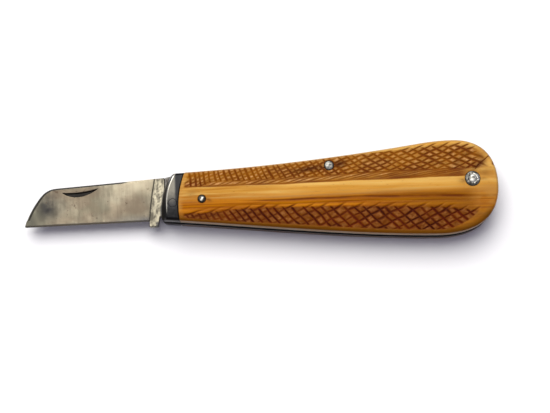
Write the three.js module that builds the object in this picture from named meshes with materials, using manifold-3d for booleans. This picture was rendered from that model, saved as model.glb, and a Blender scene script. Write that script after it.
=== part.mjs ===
// A folding whittling knife with one lambfoot blade, of the slip-joint kind: a back spring presses on the
// blade's tang and holds it open or closed. The parts lie in layers across the handle's thickness: scale and
// bolster, liner, the well with blade and spring, liner, scale and bolster, all riveted together by pins.
//
// Millimetres. While the parts are made, the pivot pin's axis is x = 0, y = 0. +X runs along the handle to its
// butt, +Y to its back, where the spring is, and +Z out of the front face, which is the side of the nail nick.
// z = 0 is the rear face, which the knife lies on. The last lines move the origin to the footprint's middle.
import * as THREE from "three";
import { mergeVertices } from "three/addons/utils/BufferGeometryUtils.js";
import Module from "manifold-3d";

const wasm = await Module();
wasm.setup();

// --- driving dimensions -------------------------------------------------------------------------------------

const wellDepth = 2.6; // between the liners, which the back spring fills
const tangThickness = 2.5;
const linerThickness = 0.9;
const scaleThickness = 3.6;
const handleThickness = wellDepth + 2 * (linerThickness + scaleThickness);
const midPlane = handleThickness / 2;
const wellFront = midPlane + wellDepth / 2;
const linerFront = wellFront + linerThickness;

const edgeRounding = 0.9; // round the outer edges of scales and bolsters
const bandLow = -0.7; // the plain flat band along each scale, between the two sunken side zones
const bandHigh = 4.3;
const sideSink = 0.2;
const scaleCrown = 120; // radius across the handle, outside the band
const bolsterFront = handleThickness - 0.3; // the bolsters lie a little lower than the scales
const bolsterCrown = 60;
const bevelAcross = 2.2; // the broad bevel down the bolster's front edge, which leans by bevelLean degrees
const bevelDown = 2.3;
const bevelLean = 77;
const bevelEdge = 2.8; // from the pivot out to the bevel's lower edge
const handleAxis = 1.9; // y of the handle's middle line

const jointNear = 1.75; // the bow-shaped joint between bolster and scale, nearest the blade at jointLow
const jointLow = -1.5;
const jointBow = 0.018;
const jointGap = 0.1;

const tangReach = 5.35; // from the pivot to each of the tang's three flats
const tangCorner = 2; // radius between the flats, which lifts the spring as the blade turns
const closedTurn = 170; // degrees from open to closed
const springReach = 5.4; // from the pivot to the underside of the spring's nose
const noseEnd = -2.5; // x of the spring's front end, against the tang's shoulder
const springHinge = 39; // x about which the spring's free arm bends
const springSplit = 0.3; // the gap there, between the arm and the fixed part

const spineAtShoulder = 8.5;
const spineSlope = 0.059;
const edgeAtPivot = -4.37; // the straight edge's line, carried on to the pivot
const edgeSlope = 0.012;
const plungeTop = -5.4; // x where the thick tang ends and the ground blade begins, at the spine and at the edge
const plungeFoot = -7.25;
const spineHalf = 1.1; // half the blade's thickness at its spine, bevel and edge
const bevelHalf = 0.32;
const edgeHalf = 0.06;
const bevelWidth = 1.1;
const nickDepth = 0.45;

const holeClearance = 0.05;
const pins = {
  pivot: { x: 0, y: 0, shaft: 1.2 },
  centre: { x: 47, y: 9.6, shaft: 1.0, head: 1.4, seat: 10.6, rim: 11.15, top: 11.45 },
  butt: { x: 89.5, y: 3.9, shaft: 1.2, washer: 2.2, seat: 11.1 },
  scale: { x: 8.8, y: 0.85, shaft: 0.8, head: 1.15, seat: 11.2 },
};
const proud = 0.3; // the front washer and heads stand this far out; the rear ones are filed flush

const roundSides = 32;
const curveSteps = 12;

// --- materials ----------------------------------------------------------------------------------------------

const finish = (color, roughness, metalness) => new THREE.MeshStandardMaterial({ color, roughness, metalness });
const bone = finish(0xc98a3c, 0.45, 0);
const bladeSteel = finish(0xa9a292, 0.35, 1);
const springSteel = finish(0x6f6d69, 0.4, 1);
const linerSteel = finish(0x9c968a, 0.4, 1);
const bolsterIron = finish(0x4c4e50, 0.35, 1);
const pinSteel = finish(0xbfbab0, 0.3, 1);

// --- solids -------------------------------------------------------------------------------------------------

// A closed three.js geometry as a manifold-3d solid.
function solidOf(geometry) {
  const bare = geometry.clone();
  bare.deleteAttribute("normal");
  bare.deleteAttribute("uv");
  const merged = mergeVertices(bare.index ? bare.toNonIndexed() : bare, 1e-4);
  const vertProperties = new Float32Array(merged.attributes.position.array);
  const triVerts = new Uint32Array(merged.index.array);
  return new wasm.Manifold(new wasm.Mesh({ numProp: 3, vertProperties, triVerts }));
}

// A manifold-3d solid as a three.js geometry.
function geometryOf(solid) {
  const mesh = solid.getMesh();
  const position = new Float32Array(mesh.numVert * 3);
  for (let i = 0; i < mesh.numVert; i++) {
    position.set(mesh.vertProperties.subarray(i * mesh.numProp, i * mesh.numProp + 3), i * 3);
  }
  const geometry = new THREE.BufferGeometry();
  geometry.setAttribute("position", new THREE.BufferAttribute(position, 3));
  geometry.setIndex(new THREE.BufferAttribute(new Uint32Array(mesh.triVerts), 1));
  return geometry;
}

// A shape in x and y as a plate from z = low to z = high.
function plate(shape, low, high) {
  const options = { depth: high - low, bevelEnabled: false, curveSegments: curveSteps };
  return solidOf(new THREE.ExtrudeGeometry(shape, options).translate(0, 0, low));
}

// A shape in y and z as a bar that runs along X, or at a small angle to it.
function bar(shape, from, to, angle = 0) {
  const options = { depth: to - from, bevelEnabled: false, curveSegments: curveSteps };
  const across = new THREE.Matrix4().makeBasis(
    new THREE.Vector3(0, 1, 0),
    new THREE.Vector3(0, 0, 1),
    new THREE.Vector3(1, 0, 0),
  );
  const along = new THREE.ExtrudeGeometry(shape, options).applyMatrix4(across).translate(from, 0, 0);
  return solidOf(along.rotateZ(angle));
}

function block(lowX, highX, lowY, highY, lowZ, highZ) {
  const size = [highX - lowX, highY - lowY, highZ - lowZ];
  const middle = [(lowX + highX) / 2, (lowY + highY) / 2, (lowZ + highZ) / 2];
  return solidOf(new THREE.BoxGeometry(...size).translate(...middle));
}

// A solid of revolution about a pin's axis, from points of radius and z.
function turned(at, profile) {
  const points = profile.map(([radius, z]) => new THREE.Vector2(radius, z));
  const upright = new THREE.LatheGeometry(points, roundSides).rotateX(Math.PI / 2);
  return upright.translate(at.x, at.y, 0);
}

// A round hole through everything between two heights.
function hole(at, radius, low, high) {
  const drill = new THREE.CylinderGeometry(radius, radius, high - low, roundSides).rotateX(Math.PI / 2);
  return solidOf(drill.translate(at.x, at.y, (low + high) / 2));
}

const without = (solid, cutters) => cutters.reduce((left, cutter) => left.subtract(cutter), solid);

// --- the handle's outline -----------------------------------------------------------------------------------

// The handle seen from its front face: a slightly hollow back that flares to the butt, a round butt and a
// gently bellied lower edge, which is where the blade folds in.
function handleOutline() {
  const outline = new THREE.Shape();
  outline.moveTo(1.2, 9.15);
  outline.bezierCurveTo(25, 9.8, 50, 12, 74, 15.4);
  outline.bezierCurveTo(78, 15.95, 80.5, 16.1, 84, 16.1);
  outline.bezierCurveTo(92.4, 16.1, 97.15, 11.3, 97.15, 2.2);
  outline.bezierCurveTo(97.15, -7.1, 91.2, -12.2, 79.5, -12.2);
  outline.bezierCurveTo(54, -11.65, 22, -7.2, -2.4, -4.93);
  outline.bezierCurveTo(-3.3, -4.8, -3.58, -4.2, -3.6, -3);
  outline.bezierCurveTo(-3.6, 0.5, -2.9, 4.6, -0.9, 7.9);
  outline.bezierCurveTo(-0.4, 8.73, 0.2, 9.12, 1.2, 9.15);
  return outline;
}

// The handle's outer body with its edges rounded.
function handleBody() {
  const options = {
    depth: handleThickness - 2 * edgeRounding,
    bevelThickness: edgeRounding,
    bevelSize: edgeRounding,
    bevelOffset: -edgeRounding,
    bevelSegments: 3,
    curveSegments: curveSteps,
  };
  return solidOf(new THREE.ExtrudeGeometry(handleOutline(), options).translate(0, 0, edgeRounding));
}

// Half a handle's section, from inside the well out to a face given as points of y and z.
function sectionUnder(face) {
  const section = new THREE.Shape();
  section.moveTo(face[0][0], midPlane);
  for (const [y, z] of face) section.lineTo(y, z);
  section.lineTo(face.at(-1)[0], midPlane);
  return section;
}

// Points along an arc that falls away from its top, at steps of y.
function crownPoints(top, topY, radius, from, to, steps) {
  return Array.from({ length: steps + 1 }, (_, i) => {
    const y = from + ((to - from) * i) / steps;
    return [y, top - radius + Math.sqrt(radius ** 2 - (y - topY) ** 2)];
  });
}

function scaleSection() {
  const side = handleThickness - sideSink;
  const face = [
    ...crownPoints(side, bandLow, scaleCrown, -18, bandLow, 6),
    [bandLow, handleThickness],
    [bandHigh, handleThickness],
    ...crownPoints(side, bandHigh, scaleCrown, bandHigh, 20, 6),
  ];
  return sectionUnder(face);
}

function bolsterSection() {
  const from = handleAxis - 18;
  const to = handleAxis + 18;
  return sectionUnder(crownPoints(bolsterFront, handleAxis, bolsterCrown, from, to, 16));
}

// Everything on the blade's side of the bolster's joint, or of a line beside it.
function bolsterRegion(shift) {
  const region = new THREE.Shape();
  region.moveTo(-20, -24);
  for (let y = -24; y <= 24; y += 2) {
    region.lineTo(jointNear + jointBow * (y - jointLow) ** 2 + shift, y);
  }
  region.lineTo(-20, 24);
  return plate(region, -5, handleThickness + 5);
}

const outside = block(-20, 120, -40, 40, linerFront, handleThickness + 5);
const frontHalf = handleBody().intersect(outside);

// --- scales, bolsters and liners ----------------------------------------------------------------------------

function frontScale() {
  const slab = frontHalf.intersect(bar(scaleSection(), -20, 120)).subtract(bolsterRegion(jointGap / 2));
  const high = handleThickness + 1;
  return without(slab, [
    hole(pins.scale, pins.scale.shaft + holeClearance, 0, high),
    hole(pins.scale, pins.scale.head + holeClearance, pins.scale.seat - holeClearance, high),
    hole(pins.centre, pins.centre.shaft + holeClearance, 0, high),
    hole(pins.centre, pins.centre.head + holeClearance, pins.centre.seat - holeClearance, high),
    hole(pins.butt, pins.butt.shaft + holeClearance, 0, high),
    hole(pins.butt, pins.butt.washer + holeClearance, pins.butt.seat - holeClearance, high),
  ]);
}

// What the bevel takes off the bolster's front edge, as a bar along that edge.
function bolsterBevel() {
  const foot = bolsterFront - bevelDown;
  const slope = bevelDown / bevelAcross;
  const wedge = new THREE.Shape();
  wedge.moveTo(bevelEdge + 5, foot - 5 * slope);
  wedge.lineTo(bevelEdge + 5, foot + 10 * slope);
  wedge.lineTo(bevelEdge - 10, foot + 10 * slope);
  return bar(wedge, -20, 20, THREE.MathUtils.degToRad(bevelLean));
}

function frontBolster() {
  const slab = frontHalf.intersect(bar(bolsterSection(), -20, 20)).intersect(bolsterRegion(-jointGap / 2));
  return without(slab, [
    bolsterBevel(),
    hole(pins.pivot, pins.pivot.shaft + holeClearance, 0, handleThickness),
  ]);
}

function frontLiner() {
  const holes = Object.values(pins).map((pin) => hole(pin, pin.shaft + holeClearance, 0, handleThickness));
  return without(plate(handleOutline(), wellFront, linerFront), holes);
}

// --- the back spring ----------------------------------------------------------------------------------------

// The well's room seen from the front: all that the spring leaves free between the liners. Its upper edge is
// the spring's underside, thinnest in the middle of the arm. It ends at the butt, where the spring turns round.
function wellRoom() {
  const room = new THREE.Shape();
  room.moveTo(noseEnd, 30);
  room.lineTo(noseEnd, springReach);
  room.lineTo(9, springReach);
  room.bezierCurveTo(13, springReach, 15, 7.2, 22, 7.3);
  room.bezierCurveTo(32, 7.5, 38, 7.5, 46.4, 7.3);
  room.bezierCurveTo(54, 7.1, 60, 9.6, 70, 9.2);
  room.bezierCurveTo(80, 8.8, 82, 3.5, 85.5, -1.5);
  room.bezierCurveTo(87.5, -4.5, 91, -7, 95.5, -12);
  room.lineTo(95.5, -30);
  room.lineTo(-30, -30);
  room.lineTo(-30, 30);
  return room;
}

// The nose runs out past the handle's outline, level with the blade's spine.
function springNose() {
  const nose = new THREE.Shape();
  nose.moveTo(noseEnd, springReach);
  nose.lineTo(4, springReach);
  nose.lineTo(4, 9.27);
  nose.bezierCurveTo(1.5, 9.18, 0, 9.05, noseEnd + 0.25, spineAtShoulder);
  nose.lineTo(noseEnd, spineAtShoulder - 0.2);
  return nose;
}

function wholeSpring() {
  const [low, high] = [midPlane - wellDepth / 2, wellFront];
  const blank = plate(handleOutline(), low, high).add(plate(springNose(), low, high));
  return without(blank, [
    plate(wellRoom(), low - 1, high + 1),
    hole(pins.centre, pins.centre.shaft + holeClearance, 0, handleThickness),
    hole(pins.butt, pins.butt.shaft + holeClearance, 0, handleThickness),
  ]);
}

function springPart(from, to) {
  return wholeSpring().intersect(block(from, to, -30, 30, 0, handleThickness));
}

// --- the blade ----------------------------------------------------------------------------------------------

const spineY = (x) => spineAtShoulder + spineSlope * (x - noseEnd);
const edgeY = (x) => edgeAtPivot + edgeSlope * x;

// Straight edge, and a straight spine that curves down to the edge at the tip.
function bladeOutline() {
  const start = plungeTop + 0.5;
  const outline = new THREE.Shape();
  outline.moveTo(start, spineY(start));
  outline.lineTo(-35, spineY(-35));
  outline.bezierCurveTo(-38.6, 6.37, -39.8, 4.5, -41.6, 2);
  outline.bezierCurveTo(-42.9, 0.1, -44.2, -2.6, -44.75, edgeY(-44.75) + 0.4);
  outline.quadraticCurveTo(-44.85, edgeY(-44.85), -44.2, edgeY(-44.2));
  outline.lineTo(start, edgeY(start));
  return outline;
}

// The blade's section: flat sides that taper from the spine, and a narrow bevel down to the edge.
function groundSection() {
  const spineTop = 12;
  const bevelTop = edgeAtPivot + bevelWidth;
  const taper = (spineHalf - bevelHalf) / (spineAtShoulder - bevelTop);
  const half = bevelHalf + taper * (spineTop - bevelTop);
  const section = new THREE.Shape();
  section.moveTo(spineTop, midPlane - half);
  section.lineTo(spineTop, midPlane + half);
  section.lineTo(bevelTop, midPlane + bevelHalf);
  section.lineTo(edgeAtPivot - 0.2, midPlane + edgeHalf);
  section.lineTo(edgeAtPivot - 0.2, midPlane - edgeHalf);
  section.lineTo(bevelTop, midPlane - bevelHalf);
  return section;
}

// The tang, from the plunge line back to its three flats. The first faces the spring when the blade is open, the
// last when it is closed, and the kick below, next to the blade's edge, then rests on the spring.
function tangOutline() {
  const turn = THREE.MathUtils.degToRad(closedTurn);
  const closedFlatY = (x) => (Math.sin(turn) * x - tangReach) / -Math.cos(turn);
  const corner = tangReach - tangCorner;
  const outline = new THREE.Shape();
  outline.moveTo(noseEnd - 0.05, spineAtShoulder);
  outline.lineTo(plungeTop, spineY(plungeTop));
  outline.quadraticCurveTo(plungeTop - 1.4, 2, plungeFoot, edgeY(plungeFoot));
  outline.lineTo(plungeFoot - 0.1, -5.9);
  outline.quadraticCurveTo(plungeFoot, -6.25, plungeFoot + 0.4, -6.25);
  outline.lineTo(-4.95, -6.2);
  outline.quadraticCurveTo(-4.6, -6.15, -4.55, -5.7);
  outline.lineTo(-4.3, -3.7);
  outline.quadraticCurveTo(-4.2, -3.1, -3.6, -3.25);
  outline.lineTo(0.4, closedFlatY(0.4));
  outline.lineTo(2.9, closedFlatY(2.9));
  outline.quadraticCurveTo(tangReach, closedFlatY(tangReach), tangReach, -2.9);
  outline.lineTo(tangReach, corner);
  outline.absarc(corner, corner, tangCorner, 0, Math.PI / 2, false);
  outline.lineTo(noseEnd - 0.05, tangReach);
  return outline;
}

// The nail nick: a crescent sunk in the front face below the spine.
function nailNick() {
  const nick = new THREE.Shape();
  nick.moveTo(-33.1, 5.1);
  nick.bezierCurveTo(-30.5, 3.2, -27, 3.7, -22.7, 6);
  nick.bezierCurveTo(-26, 5.7, -30, 4.9, -33.1, 5.1);
  return plate(nick, midPlane + spineHalf - nickDepth, midPlane + 3);
}

function blade() {
  const [low, high] = [midPlane - tangThickness / 2, midPlane + tangThickness / 2];
  const ground = plate(bladeOutline(), low, high).intersect(bar(groundSection(), -60, 0, edgeSlope));
  return without(ground.add(plate(tangOutline(), low, high)), [
    nailNick(),
    hole(pins.pivot, pins.pivot.shaft + holeClearance, 0, handleThickness),
  ]);
}

// --- pins and washers ---------------------------------------------------------------------------------------

const mirrored = (profile) => profile.map(([radius, z]) => [radius, handleThickness - z]).reverse();
const rearFlush = (profile) => mirrored(profile).map(([radius, z]) => [radius, Math.max(z, 0)]);

const pivotEnd = bolsterFront - 0.1;
const pivotProfile = [
  [0, handleThickness - pivotEnd],
  [pins.pivot.shaft, handleThickness - pivotEnd],
  [pins.pivot.shaft, pivotEnd],
  [0, pivotEnd],
];

function centreHalf({ shaft, head, seat, rim, top }) {
  return [[shaft, seat], [head, seat], [head, rim], [head * 0.6, top - 0.06], [0, top]];
}
const centreProfile = [...mirrored(centreHalf(pins.centre)), ...centreHalf(pins.centre)];

const buttEnd = handleThickness + proud;
const buttProfile = [
  [0, 0],
  [pins.butt.shaft * 0.7, 0.03],
  [pins.butt.shaft, 0.15],
  [pins.butt.shaft, buttEnd - 0.12],
  [pins.butt.shaft * 0.7, buttEnd - 0.02],
  [0, buttEnd],
];

// A domed washer in its seat. It closes on itself round the pin's hole.
function washerProfile(top) {
  const { shaft, washer, seat } = pins.butt;
  const bore = shaft + holeClearance;
  return [
    [bore, seat],
    [washer, seat],
    [washer, top - 0.45],
    [washer - 0.35, top - 0.2],
    [bore, top - 0.05],
    [bore, seat],
  ];
}

// A short pin that holds the front of a scale to its liner and ends level with the well.
function scalePinProfile(top) {
  const { shaft, head, seat } = pins.scale;
  return [
    [0, wellFront],
    [shaft, wellFront],
    [shaft, seat],
    [head, seat],
    [head, top - 0.2],
    [head * 0.6, top - 0.04],
    [0, top],
  ];
}

// --- the assembly -------------------------------------------------------------------------------------------

const knife = new THREE.Group();

function place(name, geometry, material) {
  const mesh = new THREE.Mesh(geometry, material);
  mesh.name = name;
  knife.add(mesh);
  return mesh;
}

// The rear half of the handle is the front half seen in the middle plane's mirror.
function placePair(name, geometry, material) {
  place("front_" + name, geometry, material);
  const rear = place("rear_" + name, geometry, material);
  rear.scale.z = -1;
  rear.position.z = handleThickness;
}

placePair("scale", geometryOf(frontScale()), bone);
placePair("bolster", geometryOf(frontBolster()), bolsterIron);
placePair("liner", geometryOf(frontLiner()), linerSteel);

place("back_spring_tail", geometryOf(springPart(springHinge + springSplit / 2, 120)), springSteel);
place("back_spring_arm", geometryOf(springPart(-20, springHinge - springSplit / 2)), springSteel);
place("blade", geometryOf(blade()), bladeSteel);

place("pivot_pin", turned(pins.pivot, pivotProfile), pinSteel);
place("centre_pin", turned(pins.centre, centreProfile), pinSteel);
place("butt_pin", turned(pins.butt, buttProfile), pinSteel);
place("front_butt_washer", turned(pins.butt, washerProfile(buttEnd)), pinSteel);
place("rear_butt_washer", turned(pins.butt, rearFlush(washerProfile(handleThickness))), pinSteel);
place("front_scale_pin", turned(pins.scale, scalePinProfile(handleThickness + 0.15)), pinSteel);
place("rear_scale_pin", turned(pins.scale, mirrored(scalePinProfile(handleThickness))), pinSteel);

// The origin moves to the middle of the footprint, at the height of the face that the knife lies on.
const footprint = new THREE.Box3().setFromObject(knife);
const middle = footprint.getCenter(new THREE.Vector3());
knife.position.set(-middle.x, -middle.y, -footprint.min.z);

export default knife;
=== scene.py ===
"""The looks of a folding whittling knife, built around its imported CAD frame.

Shapes are drawn in millimetres about the blade's pivot, as the CAD has them: +x runs along the handle to
its butt, +y to its back, and z up from the rear face, which lies on the floor. to_row() turns them into the
frame's metres. Each flat piece is a relief: an outline filled with a fine triangle mesh, with its own height
for front and rear.
"""

import math

import bpy
import numpy as np
from mathutils import Matrix, Vector
from mathutils.geometry import delaunay_2d_cdt
from mathutils.kdtree import KDTree


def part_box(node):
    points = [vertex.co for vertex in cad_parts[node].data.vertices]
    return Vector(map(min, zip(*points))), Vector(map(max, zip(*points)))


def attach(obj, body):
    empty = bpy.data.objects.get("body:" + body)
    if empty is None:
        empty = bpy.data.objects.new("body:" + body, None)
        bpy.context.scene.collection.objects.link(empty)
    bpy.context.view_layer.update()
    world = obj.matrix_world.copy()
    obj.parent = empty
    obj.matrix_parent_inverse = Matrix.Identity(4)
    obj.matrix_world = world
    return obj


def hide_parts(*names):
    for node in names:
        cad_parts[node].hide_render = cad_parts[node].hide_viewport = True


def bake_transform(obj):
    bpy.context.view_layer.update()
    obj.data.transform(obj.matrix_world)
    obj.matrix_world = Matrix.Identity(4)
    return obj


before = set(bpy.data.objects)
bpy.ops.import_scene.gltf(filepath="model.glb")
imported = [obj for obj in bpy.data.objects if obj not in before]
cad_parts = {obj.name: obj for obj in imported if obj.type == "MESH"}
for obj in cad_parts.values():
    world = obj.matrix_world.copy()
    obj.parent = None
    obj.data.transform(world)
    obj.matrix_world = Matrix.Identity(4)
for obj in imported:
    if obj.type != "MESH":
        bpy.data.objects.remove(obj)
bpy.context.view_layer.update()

# --- driving sizes, in millimetres ------------------------------------------------------------------------

MM = 0.001
STEP = 0.14  # between the points of outlines and reliefs

# Heights, from the rear face.
HANDLE_TOP = 11.6  # the front scale's flat band
MIDDLE = HANDLE_TOP / 2
WELL_FRONT = MIDDLE + 1.3
LINER_FRONT = WELL_FRONT + 0.9
BOLSTER_TOP = HANDLE_TOP - 0.3

# The handle's faces. The crowns are radii.
HANDLE_AXIS = 1.9  # y where the bolsters are thickest
EDGE_ROUNDING = 0.9
BAND = (-0.7, 4.3)  # the flat band's lower and upper side
SCALE_CROWN = 120
BOLSTER_CROWN = 60
JOINT = (1.75, -1.5, 0.018)  # the bow-shaped joint of bolster and scale: nearest x, its y, and the bow
JOINT_GAP = 0.05  # on each side of it

# How deep the scales are carved.
SEAT_DEPTH = 0.5  # below each head and washer
LOWER_DEPTH = 0.3  # cuts below the stripe
UPPER_DEPTH = 0.26  # cuts above it
LINE_DEPTH = 0.15  # scored lines beside it
CRACK_DEPTH = 0.12
CHIP_DEPTH = 0.25

# The blade and the spring, which meet at the tang.
TANG_REACH = 5.35  # from the pivot to each of the tang's flats
TANG_CORNER = 2
TANG_HALF = 1.25  # half thickness
SPINE_HALF = 1.1
BEVEL_HALF = 0.24  # at the top of the edge's bevel
EDGE_HALF = 0.05
BEVEL_WIDTH = 0.5
CLOSED_TURN = math.radians(170)
SPRING_REACH = 5.4
NOSE_END = -2.5  # x of the spring's nose, which the blade's shoulder meets
NOSE_RELIEF = 0.15  # how far the nose's foot leans back, to clear the blade when the spring flexes
SPINE_AT_SHOULDER = 8.5
SPINE_SLOPE = 0.059
EDGE_AT_PIVOT = -4.37
EDGE_SLOPE = 0.012
PLUNGE_TOP = -5.4  # x where the tang's thickness ends, at the spine
PLUNGE_FOOT = -7.25  # and at the edge

# Pins: where they stand, their shafts' radii, and the radii of the heads and the washer.
PINS = {
    "pivot": (0, 0),
    "scale": (8.8, 0.85),
    "centre": (47, 9.6),
    "butt": (89.5, 3.9),
}
SHAFT = {"pivot": 1.2, "scale": 0.8, "centre": 1.0, "butt": 1.2}
SEAT = {"scale": 1.15, "centre": 1.4, "butt": 2.2}
CLEARANCE = 0.05  # between a shaft and its hole
SCALE_PIN_PROUD = 0.15
BUTT_PROUD = 0.3

pin_low, pin_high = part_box("pivot_pin")
PIVOT = np.array([(pin_low.x + pin_high.x) / 2, (pin_low.y + pin_high.y) / 2, 0]) / MM


def to_row(points):
    return (np.asarray(points, float) + PIVOT) * MM


# --- plane geometry ---------------------------------------------------------------------------------------


def trace(start, *pieces):
    """Points about STEP apart along lines and Bezier curves.

    A piece is its control points, if any, and its end.
    """
    runs = [np.array([start], float)]
    for piece in pieces:
        control = np.array([runs[-1][-1], *piece], float)
        count = max(1, round(np.linalg.norm(np.diff(control, axis=0), axis=1).sum() / STEP))
        t = np.linspace(0, 1, count + 1)[1:, None]
        order = len(control) - 1
        weights = [math.comb(order, i) * t**i * (1 - t) ** (order - i) for i in range(order + 1)]
        runs.append(sum(weight * point for weight, point in zip(weights, control)))
    return np.concatenate(runs)


def ring(centre, radius):
    """A clockwise circle, as the edge of a hole."""
    count = max(24, round(2 * math.pi * radius / STEP))
    angle = -np.arange(count) * 2 * math.pi / count
    return np.stack([centre[0] + radius * np.cos(angle), centre[1] + radius * np.sin(angle)], 1)


def inside(points, loop):
    """Whether each point is inside a loop: it has an odd number of the loop's edges on its left."""
    a, b = loop, np.roll(loop, -1, axis=0)
    slope = (b[:, 0] - a[:, 0]) / np.where(a[:, 1] == b[:, 1], 1, b[:, 1] - a[:, 1])
    found = []
    for part in np.array_split(points, len(points) // 2000 + 1):  # in parts, to save memory
        x, y = part[:, 0, None], part[:, 1, None]
        spans = (a[:, 1] > y) != (b[:, 1] > y)
        found.append((spans & (x > a[:, 0] + (y - a[:, 1]) * slope)).sum(1) % 2 == 1)
    return np.concatenate(found)


def distance(points, line):
    """From each point to an open line, whose own points are close together."""
    tree = KDTree(len(line))
    for i, (x, y) in enumerate(line):
        tree.insert((x, y, 0), i)
    tree.balance()
    nearest = np.array([tree.find((x, y, 0))[1] for x, y in points])
    best = np.full(len(points), np.inf)
    for first in (np.maximum(nearest - 1, 0), np.minimum(nearest, len(line) - 2)):
        a, along = line[first], line[first + 1] - line[first]
        t = np.clip(((points - a) * along).sum(1) / (along**2).sum(1), 0, 1)
        best = np.minimum(best, np.linalg.norm(points - a - t[:, None] * along, axis=1))
    return best


def closed(loop):
    return np.concatenate([loop, loop[:1]])


def smooth(value, start, end):
    """0 before start, 1 after end and a smooth step between them. start may be the larger."""
    t = np.clip((value - start) / (end - start), 0, 1)
    return t * t * (3 - 2 * t)


def bump(value, width):
    return np.exp(-((value / width) ** 2))


def wander(x, y, size, seed):
    """A smooth random field from about -1 to 1, which changes over `size` millimetres."""
    draw = np.random.default_rng(seed)
    waves = 9
    total = 0
    for _ in range(waves):
        angle, phase = draw.uniform(0, 2 * math.pi, 2)
        rate = 2 * math.pi / size * draw.uniform(0.5, 1.3)
        total = total + np.sin(rate * (x * math.cos(angle) + y * math.sin(angle)) + phase)
    return total / (waves / 2)


# --- outlines ---------------------------------------------------------------------------------------------


def handle_outline():
    """Anticlockwise, from the back near the bolster round the front end, the lower edge and the butt."""
    loop = trace(
        (1.2, 9.15),
        ((0.2, 9.12), (-0.4, 8.73), (-0.9, 7.9)),
        ((-2.9, 4.6), (-3.6, 0.5), (-3.6, -3)),
        ((-3.58, -4.2), (-3.3, -4.8), (-2.4, -4.93)),
        ((22, -7.2), (54, -11.65), (79.5, -12.2)),
        ((91.2, -12.2), (97.15, -7.1), (97.15, 2.2)),
        ((97.15, 11.3), (92.4, 16.1), (84, 16.1)),
        ((80.5, 16.1), (78, 15.95), (74, 15.4)),
        ((50, 12), (25, 9.8), (1.2, 9.15)),
    )
    return loop[:-1]


HANDLE = handle_outline()


def joint_x(y):
    nearest, at, bow = JOINT
    return nearest + bow * (y - at) ** 2


def cut_at_joint(side):
    """The handle's outline on one side of the joint: side 1 is the scale's, side -1 the bolster's."""
    kept = side * (HANDLE[:, 0] - joint_x(HANDLE[:, 1])) > JOINT_GAP + STEP / 2
    first = np.flatnonzero(kept & ~np.roll(kept, 1))[0]
    run = np.roll(HANDLE, -first, axis=0)[: kept.sum()]
    y = np.linspace(run[-1, 1], run[0, 1], round(abs(run[-1, 1] - run[0, 1]) / STEP))[1:-1]
    joint = np.stack([joint_x(y) + side * JOINT_GAP, y], 1)
    return np.concatenate([run, joint])


def spine_y(x):
    return SPINE_AT_SHOULDER + SPINE_SLOPE * (x - NOSE_END)


def edge_y(x):
    return EDGE_AT_PIVOT + EDGE_SLOPE * x


def closed_flat_y(x):
    """The tang's flat that faces the spring when the blade is closed."""
    return (math.sin(CLOSED_TURN) * x - TANG_REACH) / -math.cos(CLOSED_TURN)


def blade_outline():
    """Anticlockwise, from the tang's shoulder along the spine, round the tip and back along the edge."""
    shoulder = NOSE_END - 0.05
    corner = TANG_REACH - TANG_CORNER
    round_corner = 0.5523 * TANG_CORNER  # a Bezier curve's handle for a quarter circle
    loop = trace(
        (shoulder, SPINE_AT_SHOULDER),
        ((-35, spine_y(-35)),),
        ((-38.6, 6.37), (-39.8, 4.5), (-41.6, 2)),
        ((-42.9, 0.1), (-44.2, -2.6), (-44.75, edge_y(-44.75) + 0.4)),
        ((-44.85, edge_y(-44.85)), (-44.2, edge_y(-44.2))),
        ((PLUNGE_FOOT, edge_y(PLUNGE_FOOT)),),
        ((PLUNGE_FOOT - 0.1, -5.9),),
        ((PLUNGE_FOOT, -6.25), (PLUNGE_FOOT + 0.4, -6.25)),
        ((-4.95, -6.2),),
        ((-4.6, -6.15), (-4.55, -5.7)),
        ((-4.3, -3.7),),
        ((-4.2, -3.1), (-3.6, -3.25)),
        ((2.9, closed_flat_y(2.9)),),
        ((TANG_REACH, closed_flat_y(TANG_REACH)), (TANG_REACH, -2.9)),
        ((TANG_REACH, corner),),
        ((TANG_REACH, corner + round_corner), (corner + round_corner, TANG_REACH), (corner, TANG_REACH)),
        ((shoulder, TANG_REACH),),
        ((shoulder, SPINE_AT_SHOULDER),),
    )
    return loop[:-1]


def nick_outline():
    """The nail nick: a long shallow arc under a nearly straight upper side."""
    loop = trace(
        (-33.6, 5.2),
        ((-30.6, 2.8), (-26.3, 3.2), (-22.2, 6.25)),
        ((-26, 5.2), (-29.5, 4.8), (-33.6, 5.2)),
    )
    return loop[:-1]


def plunge_x(y):
    """The slightly curved line where the thick tang ends, as x for each y."""
    t = (spine_y(PLUNGE_TOP) - y) / (spine_y(PLUNGE_TOP) - edge_y(PLUNGE_FOOT))
    return PLUNGE_TOP - 2 * 1.4 * t * (1 - t) + (PLUNGE_FOOT - PLUNGE_TOP) * t**2


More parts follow.
